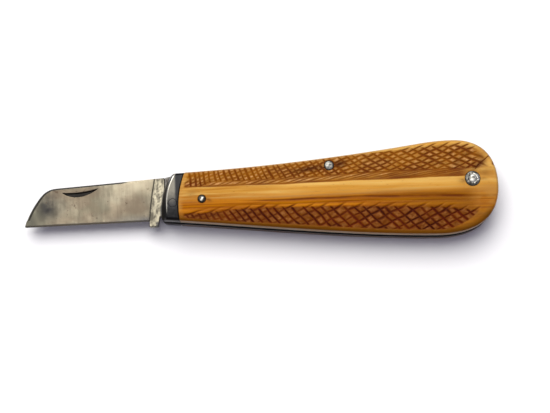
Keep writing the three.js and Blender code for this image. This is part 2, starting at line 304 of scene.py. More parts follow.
def spring_outline():
    """Anticlockwise: round the butt and along the back to the nose, then along the underside to the butt."""
    under = trace(
        (NOSE_END + NOSE_RELIEF, SPRING_REACH),
        ((9, SPRING_REACH),),
        ((13, SPRING_REACH), (15, 7.2), (22, 7.3)),
        ((32, 7.5), (38, 7.5), (46.4, 7.3)),
        ((54, 7.1), (60, 9.6), (70, 9.2)),
        ((80, 8.8), (82, 3.5), (85.5, -1.5)),
        ((87.5, -4.5), (91, -7), (95.5, -12)),
    )
    # The underside ends where it meets the butt's outline, and the nose's own curve starts at x = 4.
    under = under[(under[:, 0] < 60) | inside(under, HANDLE)]
    start = np.linalg.norm(HANDLE - under[-1], axis=1).argmin()
    back = np.roll(HANDLE, -start - 1, axis=0)
    back = back[: np.flatnonzero(back[:, 0] < 4)[0]]
    nose = trace(
        tuple(back[-1]),
        ((1.5, 9.18), (0, 9.05), (NOSE_END + 0.25, SPINE_AT_SHOULDER)),
        ((NOSE_END, SPINE_AT_SHOULDER - 0.2),),
        ((NOSE_END + NOSE_RELIEF, SPRING_REACH),),
    )
    return np.concatenate([back, nose[1:-1], under])


# --- mesh making ------------------------------------------------------------------------------------------


def new_object(name, vertices, faces, fields):
    """A piece from points in millimetres, smooth but for its sharp edges, with named vertex fields."""
    mesh = bpy.data.meshes.new(name)
    mesh.from_pydata(to_row(vertices), [], faces)
    for field, values in fields.items():
        attribute = mesh.attributes.new(field, "FLOAT", "POINT")
        attribute.data.foreach_set("value", values.astype(np.float32))
    mesh.shade_smooth()
    mesh.set_sharp_from_angle(angle=math.radians(50))
    mesh.update()
    piece = bpy.data.objects.new(name, mesh)
    bpy.context.scene.collection.objects.link(piece)
    return piece


def rows_inside(loop, offsets):
    """Copies of an anticlockwise loop, moved inwards by each offset, without points that come too close."""
    ahead = np.roll(loop, -1, axis=0) - np.roll(loop, 1, axis=0)
    inward = np.stack([-ahead[:, 1], ahead[:, 0]], 1) / np.linalg.norm(ahead, axis=1)[:, None]
    rows = []
    for offset in offsets:
        moved = loop + inward * offset
        rows.append(moved[distance(moved, closed(loop)) > offset * 0.97])
    return np.concatenate(rows)


def fill_grid(loop, margin, spacing):
    """A grid of equilateral triangles' corners inside a loop, no nearer to it than margin."""
    low_corner, high_corner = loop.min(0), loop.max(0)
    rows = np.arange(low_corner[1], high_corner[1], spacing * math.sqrt(0.75))
    columns = np.arange(low_corner[0], high_corner[0], spacing)
    x, y = np.meshgrid(columns, rows)
    x = x + (np.arange(len(rows)) % 2)[:, None] * spacing / 2
    points = np.stack([x.ravel(), y.ravel()], 1)
    points = points[inside(points, loop)]
    return points[distance(points, closed(loop)) > margin]


def relief(name, loop, holes, front, rear, rounding=EDGE_ROUNDING, spacing=STEP, edge=None):
    """A flat piece with an outline, round holes, and a height for each point of its front and rear.

    front and rear take x, y and the distance to the edge, and give z and a dictionary of vertex fields. The
    edge is the piece's own outline, unless another is given.
    """
    # Rows of points follow the rounded edge, and a grid fills the rest.
    turns = np.radians(range(14, 90, 14))
    near_rim = rows_inside(loop, rounding * (1 - np.cos(turns)))
    grid = fill_grid(loop, rounding * 0.9 + spacing * 0.6, spacing)
    inner = np.concatenate([near_rim, grid])
    for centre, radius in holes:
        inner = inner[np.linalg.norm(inner - centre, axis=1) > radius + spacing * 0.5]
    loops = [loop] + [ring(centre, radius) for centre, radius in holes]
    flat = np.concatenate(loops + [inner])
    edges = []
    start = 0
    for each in loops:
        edges += [(start + i, start + (i + 1) % len(each)) for i in range(len(each))]
        start += len(each)
    points, _, triangles, *_ = delaunay_2d_cdt([Vector(p) for p in flat], edges, [], 1, 1e-5)
    flat = np.array([tuple(p) for p in points])
    triangles = np.array(triangles)
    middles = flat[triangles].mean(1)
    for centre, radius in holes:
        kept = np.linalg.norm(middles - centre, axis=1) > radius * 0.99
        triangles, middles = triangles[kept], middles[kept]

    x, y = flat.T
    rim = distance(flat, closed(loop if edge is None else edge))
    front_z, front_fields = front(x, y, rim)
    rear_z, rear_fields = rear(x, y, rim)
    vertices = np.concatenate([np.stack([x, y, front_z], 1), np.stack([x, y, rear_z], 1)])
    count = len(flat)
    faces = [*triangles.tolist(), *(triangles[:, ::-1] + count).tolist()]
    faces += [(a + count, b + count, b, a) for a, b in edges]
    fields = {}
    for key, values in front_fields.items():
        fields[key] = np.concatenate([values, rear_fields.get(key, 0 * x)])
    return new_object(name, vertices, faces, fields)


def mirror_in_middle(piece):
    """Turns a front piece into the rear one, in the mirror of the knife's middle plane."""
    flip = Matrix.Translation((0, 0, HANDLE_TOP * MM)) @ Matrix.Diagonal((1, 1, -1, 1))
    piece.data.transform(flip)
    piece.data.flip_normals()
    return piece


def turned(name, centre, profile, dents, seed, fields, bored=False):
    """A piece of revolution about a pin's axis. Its profile's radii and heights run from foot to top.

    dents is how deep hammer marks push into it, in millimetres. fields takes x and y from the axis, and
    gives the vertex fields. A bored piece's profile goes right round its section, and it has no flat ends.
    """
    sides = 64
    angle = np.arange(sides) * 2 * math.pi / sides
    radius, height = (column[:, None] for column in np.array(profile, float).T)
    x = (radius * np.cos(angle)).ravel()
    y = (radius * np.sin(angle)).ravel()
    z = (height + 0 * angle).ravel()
    hit = np.clip(wander(x, y, 1.1, seed), -1, 0) * dents
    vertices = np.stack([centre[0] + x, centre[1] + y, z + hit * np.sign(z - MIDDLE)], 1)
    faces = []
    for i in range(len(profile) - 1 + bored):
        this, above = i * sides, (i + 1) % len(profile) * sides
        for j in range(sides):
            k = (j + 1) % sides
            faces.append((this + j, this + k, above + k, above + j))
    if not bored:
        faces.append(tuple(reversed(range(sides))))
        faces.append(tuple(range((len(profile) - 1) * sides, len(profile) * sides)))
    return new_object(name, vertices, faces, fields(x, y))


# --- the carved bone scales -------------------------------------------------------------------------------


def stripe_top(x):
    return 4.25 + 0.3 * smooth(x, 20, 60)


def stripe_groove(x):
    """The middle of the dark groove along the plain stripe's lower side."""
    return -0.3 - 0.8 * smooth(x, 55, 90)


def upper_ridge(x):
    return stripe_top(x) + 1.05 + 0.75 * smooth(x, 30, 70)


def upper_groove(x):
    return stripe_top(x) + 1.65 + 0.95 * smooth(x, 33, 72)


def cut_lines(x, y, level, lean, pitch, width, seed):
    """How deep, from 0 to 1, a family of hand-cut lines is at each point.

    lean and pitch are pairs of lists, x and the value there: degrees from the handle's axis, and millimetres
    from line to line along the height `level`. Each line has its own place, width and depth, and fades here
    and there.
    """
    angle = np.radians(np.interp(x, *lean))
    crossing = x - (y - level) / np.tan(angle)
    table = np.linspace(-40, 140, 1800)  # places along the handle and past both of its ends
    counts = np.cumsum((table[1] - table[0]) / np.interp(table, *pitch))
    phase = np.interp(crossing, table, counts)
    line = np.round(phase).astype(int)
    draw = np.random.default_rng(seed).uniform(-1, 1, (line.max() + 2, 3))[line]
    off = (phase - line - 0.14 * draw[:, 0]) * np.interp(crossing, *pitch) * np.abs(np.sin(angle))
    fade = 0.82 + 0.13 * draw[:, 2] + 0.12 * wander(x, y, 7, seed)
    return bump(off, width * (1 + 0.25 * draw[:, 1])) * fade


def lower_checkering(x, y, rim, waved, start, seed):
    """The zone below the stripe: its groove depth, and how far each point lies in it."""
    top = np.interp(x, [4, 17, 28, 50, 68, 80, 94], [-3.5, -2.7, -2.3, -2.8, -3.5, -4.2, -6])
    wide = smooth(x, 80, 94) + 0.2 * smooth(x, 12, 40)
    margin = smooth(rim, 0.45 + 2.3 * wide, 1.0 + 2.5 * wide) * start
    zone = smooth(y, top + 0.3, top - 0.5) * margin

    lean = ([5, 20, 45, 88], [-60, -52, -48, -44])
    pitch = ([5, 20, 45, 88], [1.75, 2.15, 3.0, 3.3])
    down = cut_lines(*waved, -6, lean, pitch, 0.25 + 0.07 * smooth(x, 20, 60), seed + 2)
    down = down * (0.65 + 0.35 * smooth(x, 8, 26))

    lean = ([8, 20, 32, 88], [13, 17, 24, 27])
    pitch = ([5, 40, 88], [5.6, 5.4, 4.9])
    up = cut_lines(*waved, -6, lean, pitch, 0.27, seed + 3)
    up = up * np.maximum(0.45 + 0.4 * smooth(x, 25, 60), smooth(y, top - 0.8, top))
    up_zone = smooth(y, top + 1.5, top - 0.2) * margin
    return np.maximum(down * zone, up * up_zone), zone


def upper_checkering(x, y, rim, waved, start, seed):
    """The zone above the stripe: its groove depth, and how far each point lies in it."""
    foot = upper_groove(x) - 1.3 * smooth(x, 14, 8)
    above_foot = smooth(y, foot - 0.15, foot + 0.3)
    reach = smooth(x, 50, 80)
    below_rim = smooth(rim, 0.05 + 0.9 * reach, 0.5 + 1.7 * reach)
    zone = above_foot * below_rim * start * smooth(x, 96, 91)

    lean = ([5, 18, 45, 60, 84], [-80, -74, -48, -33, -28])
    pitch = ([5, 25, 45, 62, 84], [1.5, 1.65, 2.3, 3.4, 3.8])
    slashes = cut_lines(*waved, 9, lean, pitch, 0.25 + 0.03 * smooth(x, 30, 60), seed + 4)

    lean = ([5, 45, 88], [19, 22, 24])
    pitch = ([5, 40, 60, 88], [3.1, 2.9, 3.5, 3.9])
    slants = cut_lines(*waved, 9, lean, pitch, 0.24, seed + 5)
    slants = slants * (0.5 + 0.5 * smooth(x, 20, 50))
    slant_zone = smooth(rim, 0.3, 1.2) * above_foot * start * smooth(x, 93, 89)
    return np.maximum(slashes * zone, slants * slant_zone), zone


def checkering(x, y, rim, seed):
    """Groove depth from 0 to 1 in the lower and the upper zone, and how far each point lies in each."""
    waved = (x + 0.3 * wander(x, y, 7, seed), y + 0.16 * wander(x, y, 6, seed + 1))
    start = smooth(x - joint_x(y), 1.0, 2.0)
    lower_cut, lower = lower_checkering(x, y, rim, waved, start, seed)
    upper_cut, upper = upper_checkering(x, y, rim, waved, start, seed)
    return lower_cut, upper_cut, lower, upper


def stripe_lines(x, y, rim, seed):
    """The scored lines beside the plain stripe, the ridge above it, and the ridge's leaf-like tops."""
    drift = 0.1 * wander(x, 0 * y, 16, seed)
    top = stripe_top(x) + drift
    low = stripe_groove(x) + drift
    high = upper_groove(x) + drift
    broad = smooth(x, 60, 72)
    low_line = 0.85 * bump(y - low, 0.25 + 0.17 * smooth(x, 25, 45)) * smooth(x, 14, 34) * smooth(x, 97, 84)
    thin_line = 0.5 * bump(y - low + 1.25, 0.15) * smooth(x, 14, 30)
    top_line = bump(y - top - 0.3 - 0.35 * broad, 0.34 + 0.2 * broad)
    top_line *= 0.7 + 0.25 * wander(x, 0 * y, 9, seed + 2)
    high_line = (0.6 + 0.3 * smooth(x, 50, 70)) * bump(y - high, 0.22) * smooth(x, 14, 20)

    band = smooth(y, top, top + 0.35) * smooth(y, upper_groove(x) + 0.5, upper_groove(x))
    lean = ([5, 50, 88], [24, 13, 8])
    pitch = ([5, 50, 88], [2.3, 3.1, 3.8])
    slants = cut_lines(x, y, 5.6, lean, pitch, 0.16 + 0.12 * smooth(x, 48, 66), seed + 1)
    leaves = bump(y - upper_ridge(x) - drift, 0.36) * smooth(slants, 0.5, 0.1)
    lines = np.max([low_line, thin_line, top_line, high_line, 0.9 * slants * band], axis=0)
    kept = smooth(x - joint_x(y), 0.4, 2.0) * smooth(rim, 0.3, 1.4)
    kept = kept * (1 - 0.8 * smooth(x, 84, 93) * smooth(y, 1, 3))
    return lines * kept, band * kept, leaves * kept


STAINS = (
    # x, y, half length, half width, lean in degrees, strength
    (41.0, 8.7, 4.4, 0.8, 8, 0.9),
    (50.2, 9.9, 2.2, 1.1, 12, 0.9),
    (91.8, 8.2, 2.8, 0.8, 38, 0.9),
    (93.2, 5.4, 1.8, 1.1, 0, 0.3),
    (85.5, 9.4, 1.8, 0.9, 30, 0.5),
    (88.0, 11.5, 2.5, 1.2, 20, 0.35),
    (92.5, 10.5, 1.5, 1.5, 0, 0.35),
    (80.0, 9.0, 1.2, 0.6, 0, 0.4),
    (83.5, 12.0, 0.9, 0.5, 0, 0.5),
    (6.0, 2.6, 2.0, 1.3, 20, 0.3),
    (10.8, 0.5, 0.9, 0.4, -20, 0.6),
    (86.7, 3.3, 1.3, 0.7, 0, 0.5),
    (92.6, 3.8, 1.3, 0.6, 0, 0.3),
)


def stains(x, y):
    """How dark old stains are at each point, from 0 to 1."""
    dark = 0 * x
    for at_x, at_y, length, width, lean, strength in STAINS:
        turn = math.radians(lean)
        along = (x - at_x) * math.cos(turn) + (y - at_y) * math.sin(turn)
        across = (y - at_y) * math.cos(turn) - (x - at_x) * math.sin(turn)
        dark = np.maximum(dark, strength * np.exp(-((along / length) ** 2) - (across / width) ** 2))
    return dark


def crack(x, y):
    """A fine crack that runs up from the butt washer to the rim."""
    line = trace((90.6, 6.9), ((92, 8.9), (93.4, 9.3), (95.2, 11.2)))
    return bump(distance(np.stack([x, y], 1), line), 0.14)


def fall_of_rounding(room, radius):
    """How far a rounded edge falls below the face, at each distance from the edge."""
    depth = np.clip(radius - room, 0, radius)
    return radius - np.sqrt(radius**2 - depth**2)


def scale_front(seed, side, side_light):
    """The front of a scale, as relief() takes it. make_scale() says what its last two arguments are."""

    def face(x, y, rim):
        beyond = np.maximum(0, np.maximum(BAND[0] - y, y - BAND[1]))
        z = HANDLE_TOP - SCALE_CROWN + np.sqrt(SCALE_CROWN**2 - beyond**2)
        z -= 0.16 * smooth(beyond, 0, 1.2)
        z -= fall_of_rounding(rim, EDGE_ROUNDING)
        z -= fall_of_rounding(x - joint_x(y), 0.25)

        lower_cut, upper_cut, lower, upper = checkering(x, y, rim, seed)
        lines, ridge, leaves = stripe_lines(x, y, rim, seed + 20)
        broken = crack(x, y)
        chip = bump(np.hypot(x - 96.1, y - 8.3), 0.55)
        z -= LOWER_DEPTH * lower_cut + UPPER_DEPTH * upper_cut + LINE_DEPTH * lines
        z -= CRACK_DEPTH * broken + CHIP_DEPTH * chip
        z -= 0.04 * (lower + upper) * (1 + wander(x, y, 1.3, seed + 8)) + 0.012 * wander(x, y, 4, seed + 9)

        seats = 0 * x
        dirt_and_shade = stains(x, y)
        for pin, dirt in (("scale", 0.7), ("centre", 0.8), ("butt", 0.45)):
            away = np.hypot(x - PINS[pin][0], y - PINS[pin][1]) - SEAT[pin]
            seats = np.maximum(seats, smooth(away, 0.1, 0.0))
            dirt_and_shade = np.maximum(dirt_and_shade, smooth(away, 0.4, 0) * dirt)
        z -= SEAT_DEPTH * seats

        cut = np.max([lower_cut, upper_cut, 0.9 * lines, broken, chip], axis=0)
        paler = 1 - 0.35 * bump(x - 68, 15) * upper
        below = stripe_top(x) - y
        # painted shade along the lower edge, and a darker tone below the stripe near the butt
        lower_edge_painted_shade = 0.9 * smooth(rim, 3.2, 0.7) * smooth(y, 1, -3)
        butt_tone = 0.5 * smooth(x, 52, 80) * smooth(below, 2.5, 4.5)
        at_butt = 1 - 0.85 * smooth(x, 87, 92) * smooth(y, -7, -3)
        fields = {
            "cut": np.clip(cut, 0, 1),
            # the tops between the cuts are lighter: partly worn bone, partly painted highlight
            "top": np.clip(((lower + upper) * smooth(cut, 0.16, 0.0) + leaves) * paler, 0, 1),
            "lower": lower,
            "upper": np.clip(upper + ridge, 0, 1),
            "dirt_and_shade": np.clip(dirt_and_shade, 0, 1),
            # painted shade: the stripe's honey turns amber further down
            "shade": smooth(below, 1.6, 5.0),
            "shade_and_butt_tone": np.maximum(lower_edge_painted_shade, butt_tone) * at_butt,
            "fibres": smooth(x, 40, 12),
            # painted highlight on the upper rounded edge
            "rim": smooth(rim, 0.9, 0.1) * smooth(y, -3, 3),
            # painted shade and painted light on the side walls, darker on the rear scale
            "side": smooth(rim, 0.1, 0) * side,
            "side_light": smooth(rim, 0.1, 0) * side_light,
            "end": smooth(x - joint_x(y), 1.8, 0.3) + smooth(x, 82, 96),
        }
        return z, fields

    return face


def make_scale(name, seed, side, side_light):
    """The last two arguments say how dark and how light the scale's sides are painted, as painted shade and
    painted light, from 0 to 1.
    """

    def back(x, y, rim):
        at_side = smooth(rim, 0.1, 0)
        return LINER_FRONT + 0 * x, {"side": at_side * side, "side_light": at_side * side_light}

    holes = [(PINS[pin], SHAFT[pin] + CLEARANCE) for pin in ("scale", "centre", "butt")]
    return relief(name, cut_at_joint(1), holes, scale_front(seed, side, side_light), back, edge=HANDLE)


# --- bolsters, liners, spring -----------------------------------------------------------------------------


def bolster_crease(y):
    """Where the broad bevel at the bolster's free end begins, as x for each y."""
    return -1.75 + 0.034 * np.maximum(0, y) ** 2


def bolster_fields(x, y):
    """The fields that the bolster and the pivot pin's flush end share."""
    return {
        # painted sheen on the upper front
        "painted_sheen": smooth(y, -1.2, 4.2) * smooth(x, 1.3, 0.5),
        # painted shade toward the joint and the lower edge
        "dark": np.maximum(smooth(x, 0.6, 1.4), smooth(y, 0.8, -3.0)),
        "bevel": smooth(x - bolster_crease(y), 0, -0.35),
    }


def bolster_front(x, y, rim):
    past = x - bolster_crease(y)
    crown_fall = BOLSTER_CROWN - np.sqrt(BOLSTER_CROWN**2 - (y - HANDLE_AXIS) ** 2)
    bevel_fall = -1.3 * past
    softness = 0.07  # of the crease where the two meet
    z = BOLSTER_TOP - softness * np.log(np.exp(crown_fall / softness) + np.exp(bevel_fall / softness))
    z -= fall_of_rounding(rim, EDGE_ROUNDING)
    to_joint = joint_x(y) - x
    from_pin = np.hypot(x, y) - SHAFT["pivot"]
    z -= 0.12 * smooth(to_joint, 0.3, 0.05) + 0.03 * bump(from_pin, 0.09)
    z -= 0.02 * np.clip(wander(x, y, 1.6, 61), 0, 1)
    fields = bolster_fields(x, y)
    # the bevel's crease: partly worn bright steel, partly painted highlight
    fields["wear_and_shine"] = bump(past + 0.02, 0.12) * smooth(y, -3.5, 0.5)
    # darker along the joint with the scale
    joint_darkening = smooth(to_joint, 0.6, 0.05)
    # painted shade along the lower edge
    lower_edge_shade = smooth(rim, 0.9, 0.2) * smooth(y, 0, -4)
    fields["dirt_and_shade"] = np.max([joint_darkening, 0.35 * bump(from_pin, 0.08), lower_edge_shade], axis=0)
    return z, fields


def bolster_back(x, y, rim):
    # painted shade on the lower edge's walls at the rear
    return LINER_FRONT + 0 * x, {"dirt_and_shade": smooth(rim, 0.1, 0) * smooth(y, 2, -2)}


def make_bolster(name):
    holes = [(PINS["pivot"], SHAFT["pivot"])]
    return relief(name, cut_at_joint(-1), holes, bolster_front, bolster_back, spacing=0.1, edge=HANDLE)


def flat_plate(z, sign, chamfer, wear_width):
    """One face of a plate at height z, with a small rounded edge that is worn bright.

    sign is 1 for the front and -1 for the rear.
    """

    def face(x, y, rim):
        # the faces darken away from the edge: painted shade inside the handle
        fields = {"wear_and_shine": smooth(rim, wear_width, 0), "dirt_and_shade": smooth(rim, 0.02, 0.3)}
        return z - sign * fall_of_rounding(rim, chamfer), fields

    return face


def make_liner(name):
    holes = [(PINS[pin], SHAFT[pin] + CLEARANCE) for pin in PINS]
    front = flat_plate(LINER_FRONT, 1, 0.08, 0.1)
    rear = flat_plate(WELL_FRONT, -1, 0.12, 0.1)
    return relief(name, HANDLE, holes, front, rear, rounding=0.15, spacing=0.6)


def make_spring():
    holes = [(PINS[pin], SHAFT[pin] + CLEARANCE) for pin in ("centre", "butt")]
    front = flat_plate(WELL_FRONT, 1, 0.14, 0.3)
    rear = flat_plate(2 * MIDDLE - WELL_FRONT, -1, 0.14, 0.3)
    return relief("back_spring", spring_outline(), holes, front, rear, rounding=0.15, spacing=0.5)


# --- the blade --------------------------------------------------------------------------------------------

BLADE = blade_outline()
NICK = nick_outline()


def blade_half(x, y, rim):
    """Half the blade's thickness, and the vertex fields of one face."""
    up = y - edge_y(x)
    past = x - plunge_x(y)
    step_line = bump(past + 0.12, 0.14) * smooth(rim, 0, 0.3)

    full_width = SPINE_AT_SHOULDER - EDGE_AT_PIVOT - BEVEL_WIDTH
    side = BEVEL_HALF + (SPINE_HALF - BEVEL_HALF) * (up - BEVEL_WIDTH) / full_width
    bevel = EDGE_HALF + (BEVEL_HALF - EDGE_HALF) * up / BEVEL_WIDTH
    ground = np.minimum(side, bevel)
    half = ground + (TANG_HALF - ground) * smooth(past, -0.16, 0.12)
    half -= 0.05 * step_line

    chamfer = (up > 2) * smooth(x, -11, -17)
    chamfer_width = 0.5 + 0.3 * smooth(x, -36, -41)
    half -= np.clip(chamfer_width - rim, 0, chamfer_width) * 0.7 * chamfer
    tang = smooth(past, 0, 0.3)
    corner = 0.15  # the radius of the tang's rounded corners
    depth = np.clip(corner - rim, 0, corner) * tang
    half -= corner - np.sqrt(np.maximum(corner**2 - depth**2, 0))
    half -= 0.05 * tang * np.clip(wander(x, y, 1.1, 35), 0, 1)
    half += 0.012 * wander(x, y, 5, 31) * smooth(rim, 0, 1) * smooth(past, -0.3, -1)

    on_blade = smooth(past, 0, -0.3)
    # painted shade on the tang next to the bolster
    to_handle = x + 4.1 - 0.014 * (y + 4.6) ** 2
    # painted shade on the tang's lower right corner
    kick_shade = 0.85 * smooth(x, -5.7, -5.1) * smooth(y, -4.5, -5.1)
    tip_cloud = bump(np.hypot(x + 38.0, (y - 0.9) * 0.9), 4.0)
    chamfer_face = smooth(rim, chamfer_width + 0.15, chamfer_width - 0.1) * chamfer
    fields = {
        "tang": smooth(past, -0.1, 0.15),
        # a dark line at the plunge, and painted shade by the bolster and on the tang's lower corner
        "dirt_and_shade": np.clip(0.9 * step_line + smooth(to_handle, -0.25, 0.3) + kick_shade, 0, 1),
        "chamfer": chamfer_face * (1 - 0.55 * smooth(x, -37, -41)),
        "cloud": np.clip(tip_cloud + 0.45 * smooth(x + 0.45 * (y + 4), -40.2, -42.5), 0, 1),
        "low": smooth(up, 2.6, 0) * smooth(x, -24, -9) * on_blade,
        "tip": smooth(x + 0.5 * y, -35, -44),
        # painted reflection on the upper blade toward the tang
        "shine": smooth(x, -24, -9) * smooth(y, 2, 7.5) * on_blade,
        "edge": smooth(up, BEVEL_WIDTH + 0.1, BEVEL_WIDTH - 0.15) * on_blade,
        "nick": 0 * x,
    }
    return np.maximum(half, 0.03), fields


def blade_front(x, y, rim):
    half, fields = blade_half(x, y, rim)
    points = np.stack([x, y], 1)
    depth = distance(points, closed(NICK)) * inside(points, NICK)
    fields["nick"] = smooth(depth, 0, 0.1)
    return MIDDLE + half - 0.42 * smooth(depth, 0, 0.3), fields


def blade_rear(x, y, rim):
    half, fields = blade_half(x, y, rim)
    return MIDDLE - half, fields


def make_blade():
    holes = [(PINS["pivot"], SHAFT["pivot"] + CLEARANCE)]
    return relief("whittling_blade", BLADE, holes, blade_front, blade_rear, rounding=0.4, spacing=0.12)


# --- pins -------------------------------------------------------------------------------------------------


def dome(radius, low_z, rim_z, top_z):
    """Profile points over a domed head from its rim to near its middle."""
    angle = np.linspace(0, 1, 11) * math.pi / 2
    head = np.stack([radius * np.cos(angle), rim_z + (top_z - rim_z) * np.sin(angle)], 1)
    head[-1, 0] = radius * 0.02
    return [(radius, low_z), *map(tuple, head)]


def mirrored(profile):
    """A profile's mirror image in the knife's middle plane, which still runs from its foot to its top."""
    return [(radius, HANDLE_TOP - z) for radius, z in reversed(profile)]


def centre_shine(x, y):
    """Patchy, and half bright."""
    return {"wear_and_shine": smooth(np.hypot(x, y), 1.4, 1.2) * (0.36 + 0.2 * wander(x, y, 0.9, 71))}


def butt_shine(x, y):
    """Painted reflection on worn steel: bright, but for a dark crescent on the left and a dark dot in the
    middle.
    """
    away = np.hypot(x, y)
    crescent = smooth(np.hypot(x - 0.75, y + 0.1), 1.35, 1.75)
    dot = bump(np.hypot(x - 0.1, y - 0.35), 0.42)
    shine = 0.75 + 0.3 * wander(x, y, 1.2, 73)
    return {"wear_and_shine": np.clip(smooth(away, 2.2, 2.15) * (1 - 0.75 * crescent) * (1 - dot) * shine, 0, 1)}


def scale_shine(x, y):
    """Dark, with one bright streak as a painted highlight."""
    lean = 1.1
    along = x * math.cos(lean) + y * math.sin(lean)
    across = y * math.cos(lean) - x * math.sin(lean)
    return {"wear_and_shine": smooth(np.abs(along), 0.75, 0.45) * smooth(np.abs(across), 0.35, 0.15)}


def make_pivot_rivet():
    """Filed flush with the bolsters, and only just visible in them."""
    top = BOLSTER_TOP - 0.03
    head = dome(SHAFT["pivot"] - 0.02, top - 0.3, top - 0.03, top)
    profile = mirrored(head) + head
    return turned("pivot_rivet", PINS["pivot"], profile, dents=0.01, seed=3, fields=bolster_fields)


def make_centre_rivet():
    seat = 10.6
    top = 11.44  # just clear of the crowned scale around it
    head = [(SHAFT["centre"], seat), *dome(SEAT["centre"], seat, top - 0.3, top)]
    profile = mirrored(head) + head
    return turned("centre_rivet", PINS["centre"], profile, dents=0.06, seed=5, fields=centre_shine)


def make_butt_rivet():
    top = HANDLE_TOP + BUTT_PROUD
    front = dome(SHAFT["butt"], top - 0.5, top - 0.14, top)
    rear = dome(SHAFT["butt"], HANDLE_TOP - 0.4, HANDLE_TOP - 0.1, HANDLE_TOP)
    profile = mirrored(rear) + front
    return turned("butt_rivet", PINS["butt"], profile, dents=0.05, seed=8, fields=butt_shine)


def make_washer(name, top, seed):
    """A domed washer hammered down into its seat."""
    seat = HANDLE_TOP - SEAT_DEPTH
    bore = SHAFT["butt"] + CLEARANCE
    outer = SEAT["butt"]
    t = np.linspace(0, 1, 9)
    crown = [(outer - (outer - bore) * s, top - 0.24 + 0.2 * math.sin(s * math.pi * 0.6)) for s in t]
    profile = [(bore, seat), (outer, seat), *crown]
    return turned(name, PINS["butt"], profile, dents=0.1, seed=seed, fields=butt_shine, bored=True)


def make_scale_rivet(name, top):
    """A short rivet that ends level with the well."""
    seat = 11.2
    shaft = SHAFT["scale"]
    profile = [
        (shaft * 0.05, WELL_FRONT),
        (shaft, WELL_FRONT),
        (shaft, seat),
        *dome(SEAT["scale"], seat, top - 0.22, top),
    ]
    return turned(name, PINS["scale"], profile, dents=0.05, seed=17, fields=scale_shine)


# --- materials --------------------------------------------------------------------------------------------

STUDIO_LIGHT = 1.14  # how bright a surface shows in the studio, over its base colour
SHEEN = 0.012  # how much brighter its gloss makes it


def linear(red, green, blue):
    """A linear colour with its alpha, from 0-255 screen values."""
    values = [c / 255 for c in (red, green, blue)]
    return tuple(c / 12.92 if c <= 0.04045 else ((c + 0.055) / 1.055) ** 2.4 for c in values) + (1,)


def under_light(red, green, blue):
    """The base colour that shows as these 0-255 screen values in the studio's light."""
    values = linear(red, green, blue)[:3]
    return tuple(max(0.002, (c - SHEEN) / STUDIO_LIGHT) for c in values) + (1,)


class Finish:
    """A node material being built. set() feeds its shader, and most other methods give a node's output."""

    def __init__(self, name):
        self.material = bpy.data.materials.new(name)
        self.material.use_nodes = True
        self.tree = self.material.node_tree
        self.shader = self.tree.nodes["Principled BSDF"]

    def node(self, kind, inputs=None, output=0, **settings):
        made = self.tree.nodes.new(kind)
        for key, value in settings.items():
            setattr(made, key, value)
        for key, value in (inputs or {}).items():
            self.feed(made.inputs[key], value)
        return made.outputs[output]

    def feed(self, socket, value):
        if isinstance(value, bpy.types.NodeSocket):
            self.tree.links.new(value, socket)
        else:
            socket.default_value = value

    def set(self, **inputs):
        for key, value in inputs.items():
            self.feed(self.shader.inputs[key.replace("_", " ")], value)

    def field(self, name):
        return self.node("ShaderNodeAttribute", attribute_name=name, output=2)

    def place(self, *scale):
        where = self.node("ShaderNodeTexCoord", output=3)
        return self.node("ShaderNodeMapping", {"Vector": where, "Scale": scale})

    def noise(self, scale, detail=4, low=0.35, high=0.65):
        """Noise from 0 to 1. scale is in features per metre along x, y and z. low becomes 0, and high 1."""
        inputs = {"Vector": self.place(*scale), "Scale": 1, "Detail": detail, "Roughness": 0.55}
        value = self.node("ShaderNodeTexNoise", inputs)
        return self.spread(value, low, high)

    def spread(self, value, low, high, to_low=0, to_high=1):
        inputs = {"Value": value, "From Min": low, "From Max": high, "To Min": to_low, "To Max": to_high}
        return self.node("ShaderNodeMapRange", inputs, interpolation_type="SMOOTHSTEP")

    def plus(self, a, b):
        return self.node("ShaderNodeMath", {0: a, 1: b}, operation="ADD")

    def times(self, a, b):
        return self.node("ShaderNodeMath", {0: a, 1: b}, operation="MULTIPLY")

    def mix(self, factor, a, b):
        made = self.tree.nodes.new("ShaderNodeMix")
        made.data_type = "RGBA"
        for key, value in ((0, factor), (6, a), (7, b)):
            self.feed(made.inputs[key], value)
        return made.outputs[2]

    def bump(self, height, distance_mm, strength, under=None):
        inputs = {"Height": height, "Distance": distance_mm * MM, "Strength": strength}
        if under is not None:
            inputs["Normal"] = under
        return self.node("ShaderNodeBump", inputs)


